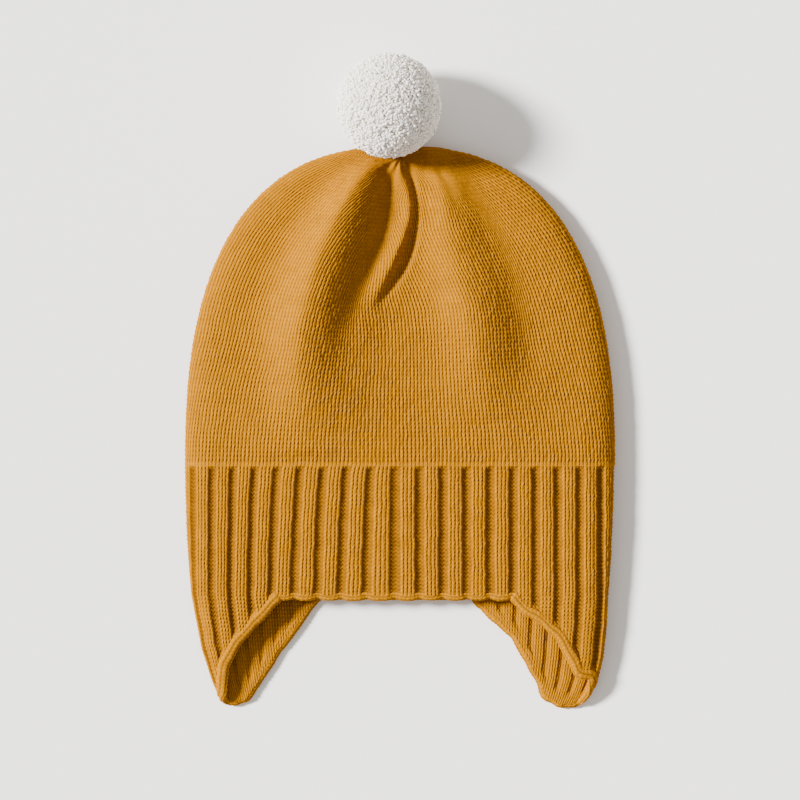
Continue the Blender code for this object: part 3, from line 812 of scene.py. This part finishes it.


# ---------------------------------------------------------------- bound edges
def bound_edge(name, path, up, wide, thick):
    """Closed band of plain stitches along a path, with rounded sides; up is the cloth's normal."""
    run = along(*path.T)
    count = int(run[-1] / COURSE * 5)
    s = np.linspace(0, run[-1], count)
    c = np.stack([np.interp(s, run, path[:, k]) for k in range(3)], axis=1)
    u = np.stack([np.interp(s, run, up[:, k]) for k in range(3)], axis=1)
    for _ in range(12):
        c[1:-1] = 0.25 * c[:-2] + 0.5 * c[1:-1] + 0.25 * c[2:]
        u[1:-1] = 0.25 * u[:-2] + 0.5 * u[1:-1] + 0.25 * u[2:]
    t = np.gradient(c, axis=0)
    t /= np.linalg.norm(t, axis=1, keepdims=True)
    u -= t * (u * t).sum(1, keepdims=True)
    u /= np.linalg.norm(u, axis=1, keepdims=True)
    v = np.cross(t, u)
    columns = 6
    sides = columns * 6
    a = np.linspace(0, 2 * pi, sides, endpoint=False)[None, :]
    w = np.broadcast_to(a / (2 * pi) * columns, (count, sides))
    wave = knit(w, np.broadcast_to(s[:, None] / COURSE, w.shape))
    ends = 0.55 + 0.45 * np.sin(np.clip(np.minimum(s, s[-1] - s) / 1.5, 0, 1) * pi / 2)[:, None]
    swell = (1 + 0.12 * uneven(w * 0, s[:, None] / COURSE, 4.0, 0)) * ends
    stitch = 0.45 * (wave - 1)
    high = (thick * swell + stitch) * np.cos(a)
    across = (wide * swell + stitch) * np.sin(a)
    pts = c[:, None] + high[..., None] * u[:, None] + across[..., None] * v[:, None]
    pts[..., 2] = np.maximum(pts[..., 2], INNER_LOW)
    ring = np.arange(count * sides).reshape(count, sides)
    nxt = np.roll(ring, -1, axis=1)
    quads = np.stack([ring[:-1], nxt[:-1], nxt[1:], ring[1:]], axis=-1).reshape(-1, 4)
    uu = np.stack(np.broadcast_arrays(s[:, None] / s[-1], a / (2 * pi)), axis=-1).reshape(-1, 2)
    caps = [list(ring[0][::-1]), list(ring[-1])]
    # painted shade between the binding's stitches
    return build(name, pts.reshape(-1, 3), quads, caps, uu, 0.2 + 0.8 * wave, MUSTARD)


def make_brim_edges():
    """The edging between the flaps: it follows the ribs in front and lies straight behind."""
    x = np.linspace(-61, 59, 400)
    wales = np.interp(x, *band_wales())
    down, _ = rib_profile(wales)
    z = 2 * FOLD + lift(BRIM) - 1.9 - 0.9 * down
    path = np.stack([x, BRIM - 0.7 + 0.9 * down, z], axis=1)
    up = np.tile([0.0, 0.0, 1.0], (len(x), 1))
    obj = bound_edge("brim_binding_front", path, up, 2.0, 1.8)
    ride(obj, "brim_edging_front")
    x = np.linspace(-42, 42, 200)
    path = np.stack([x, np.full(200, BRIM - 0.6), np.full(200, 1.8)], axis=1)
    obj = bound_edge("brim_binding_back", path, up[:200], 2.0, 1.7)
    ride(obj, "brim_edging_back")


def band_wales():
    """Matching x and wale along the top of the band at the brim."""
    wales = np.linspace(30, 102, 400)
    x, z = band_section(BRIM)
    run = along(x, z)
    arc = band_arcs(x, run, rib_place(wales), 1.0)
    return np.interp(arc, run, x), wales


make_crown_front()
make_band_front()
make_crown_back()
make_band_back()
make_flap("left")
make_flap("right")
make_brim_edges()


# ---------------------------------------------------------------- pom-pom
def icosphere(subdivisions, radius):
    """Points and triangles of a ball."""
    ball = bmesh.new()
    bmesh.ops.create_icosphere(ball, subdivisions=subdivisions, radius=radius)
    points = np.array([p.co[:] for p in ball.verts])
    faces = np.array([[p.index for p in face.verts] for face in ball.faces])
    ball.free()
    return points, faces


def make_pompom_wool():
    """Cut ends of wool: small stretched grains, evenly spread over the ball and turned at random, with
    painted shade on the grains that sit deeper in the ball.
    """
    rng = np.random.default_rng(4)
    grain, triangles = icosphere(1, 1.0)
    i = np.arange(POM_GRAINS) + 0.5
    polar = np.arccos(1 - 2 * i / POM_GRAINS)
    azim = pi * (1 + 5 ** 0.5) * i
    dirs = np.stack([np.sin(polar) * np.cos(azim), np.sin(polar) * np.sin(azim), np.cos(polar)], axis=1)
    dirs += rng.normal(0, 0.012, dirs.shape)
    dirs /= np.linalg.norm(dirs, axis=1)[:, None]
    size = rng.uniform(0.5, 0.85, POM_GRAINS)
    out = POM_RADIUS - 0.2 + rng.normal(0, 0.4, POM_GRAINS)
    frames = np.linalg.qr(rng.normal(size=(POM_GRAINS, 3, 3)))[0]
    stretch = np.ones((POM_GRAINS, 3)) * size[:, None]
    stretch[:, 0] *= rng.uniform(1.0, 1.7, POM_GRAINS)
    pts = np.einsum("nij,kj->nki", frames * stretch[:, None, :], grain)
    pts = pts + (dirs * out[:, None])[:, None, :] + np.array(POM_CENTRE)
    faces = (triangles[None] + (np.arange(POM_GRAINS) * len(grain))[:, None, None]).reshape(-1, 3)
    # painted shade: grains deeper in the ball are darker
    far = np.linalg.norm(pts - np.array(POM_CENTRE), axis=-1)
    painted_shade = np.clip((far - POM_RADIUS + 1.4) / 1.6, 0, 1)
    obj = build("pompom_wool", pts.reshape(-1, 3), faces, painted_shade=0.3 + 0.7 * painted_shade.ravel(), material=WHITE)
    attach(obj, "pompom")
    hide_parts("pompom")


def make_pompom_core():
    """The dense ball under the grains, with painted shade where it shows between them."""
    points, faces = icosphere(4, POM_RADIUS - 0.9)
    points = points + np.array(POM_CENTRE)
    obj = build("pompom_core", points, faces, painted_shade=np.full(len(points), 0.3), material=WHITE)
    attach(obj, "pompom")


make_pompom_wool()
make_pompom_core()

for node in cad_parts.values():
    white = any(word in node.name for word in ("pompom", "knot"))
    for slot in node.material_slots:
        slot.material = WHITE_YARN if white else MUSTARD_YARN


# ---------------------------------------------------------------- floor, light and camera
FLOOR_WHITE = 0.95
SUN_STRENGTH = 13.8
SUN_SIZE = 12                   # degrees across, which softens the shadows
SUN_HEIGHT = 34                 # degrees over the floor
SUN_SIDE = 14                   # degrees from the left towards the pom-pom
SKY_STRENGTH = 0.7
EYE_Y = -0.009
EYE_HEIGHT = 2.182


def make_floor():
    bpy.ops.mesh.primitive_plane_add(size=6.0, location=(0, 0, -0.0002))
    floor = bpy.context.object
    floor.name = "floor"
    mat = bpy.data.materials.new("floor")
    mat.use_nodes = True
    shader = mat.node_tree.nodes["Principled BSDF"]
    shader.inputs["Base Color"].default_value = (FLOOR_WHITE, FLOOR_WHITE, FLOOR_WHITE, 1)
    shader.inputs["Roughness"].default_value = 0.9
    shader.inputs["Specular IOR Level"].default_value = 0.0
    floor.data.materials.append(mat)


def make_lights():
    """A low warm sun from the left, and a pale sky."""
    key = bpy.data.lights.new("key", "SUN")
    key.energy = SUN_STRENGTH
    key.angle = radians(SUN_SIZE)
    key.color = (1.0, 0.985, 0.96)
    lamp = bpy.data.objects.new("key", key)
    bpy.context.collection.objects.link(lamp)
    height, side = radians(SUN_HEIGHT), radians(SUN_SIDE)
    to_light = Vector((-cos(height) * cos(side), cos(height) * sin(side), sin(height)))
    lamp.rotation_euler = to_light.to_track_quat("Z", "Y").to_euler()

    world = bpy.data.worlds.new("studio")
    bpy.context.scene.world = world
    world.use_nodes = True
    back = world.node_tree.nodes["Background"]
    back.inputs["Color"].default_value = (1.0, 0.95, 0.89, 1)
    back.inputs["Strength"].default_value = SKY_STRENGTH


def make_camera():
    """Straight above the hat, with a long lens."""
    cam = bpy.data.cameras.new("camera")
    cam.lens = 200
    cam.sensor_width = 36
    cam.clip_end = 20
    eye = bpy.data.objects.new("camera", cam)
    bpy.context.collection.objects.link(eye)
    eye.location = (0, EYE_Y, EYE_HEIGHT)
    bpy.context.scene.camera = eye


make_floor()
make_lights()
make_camera()
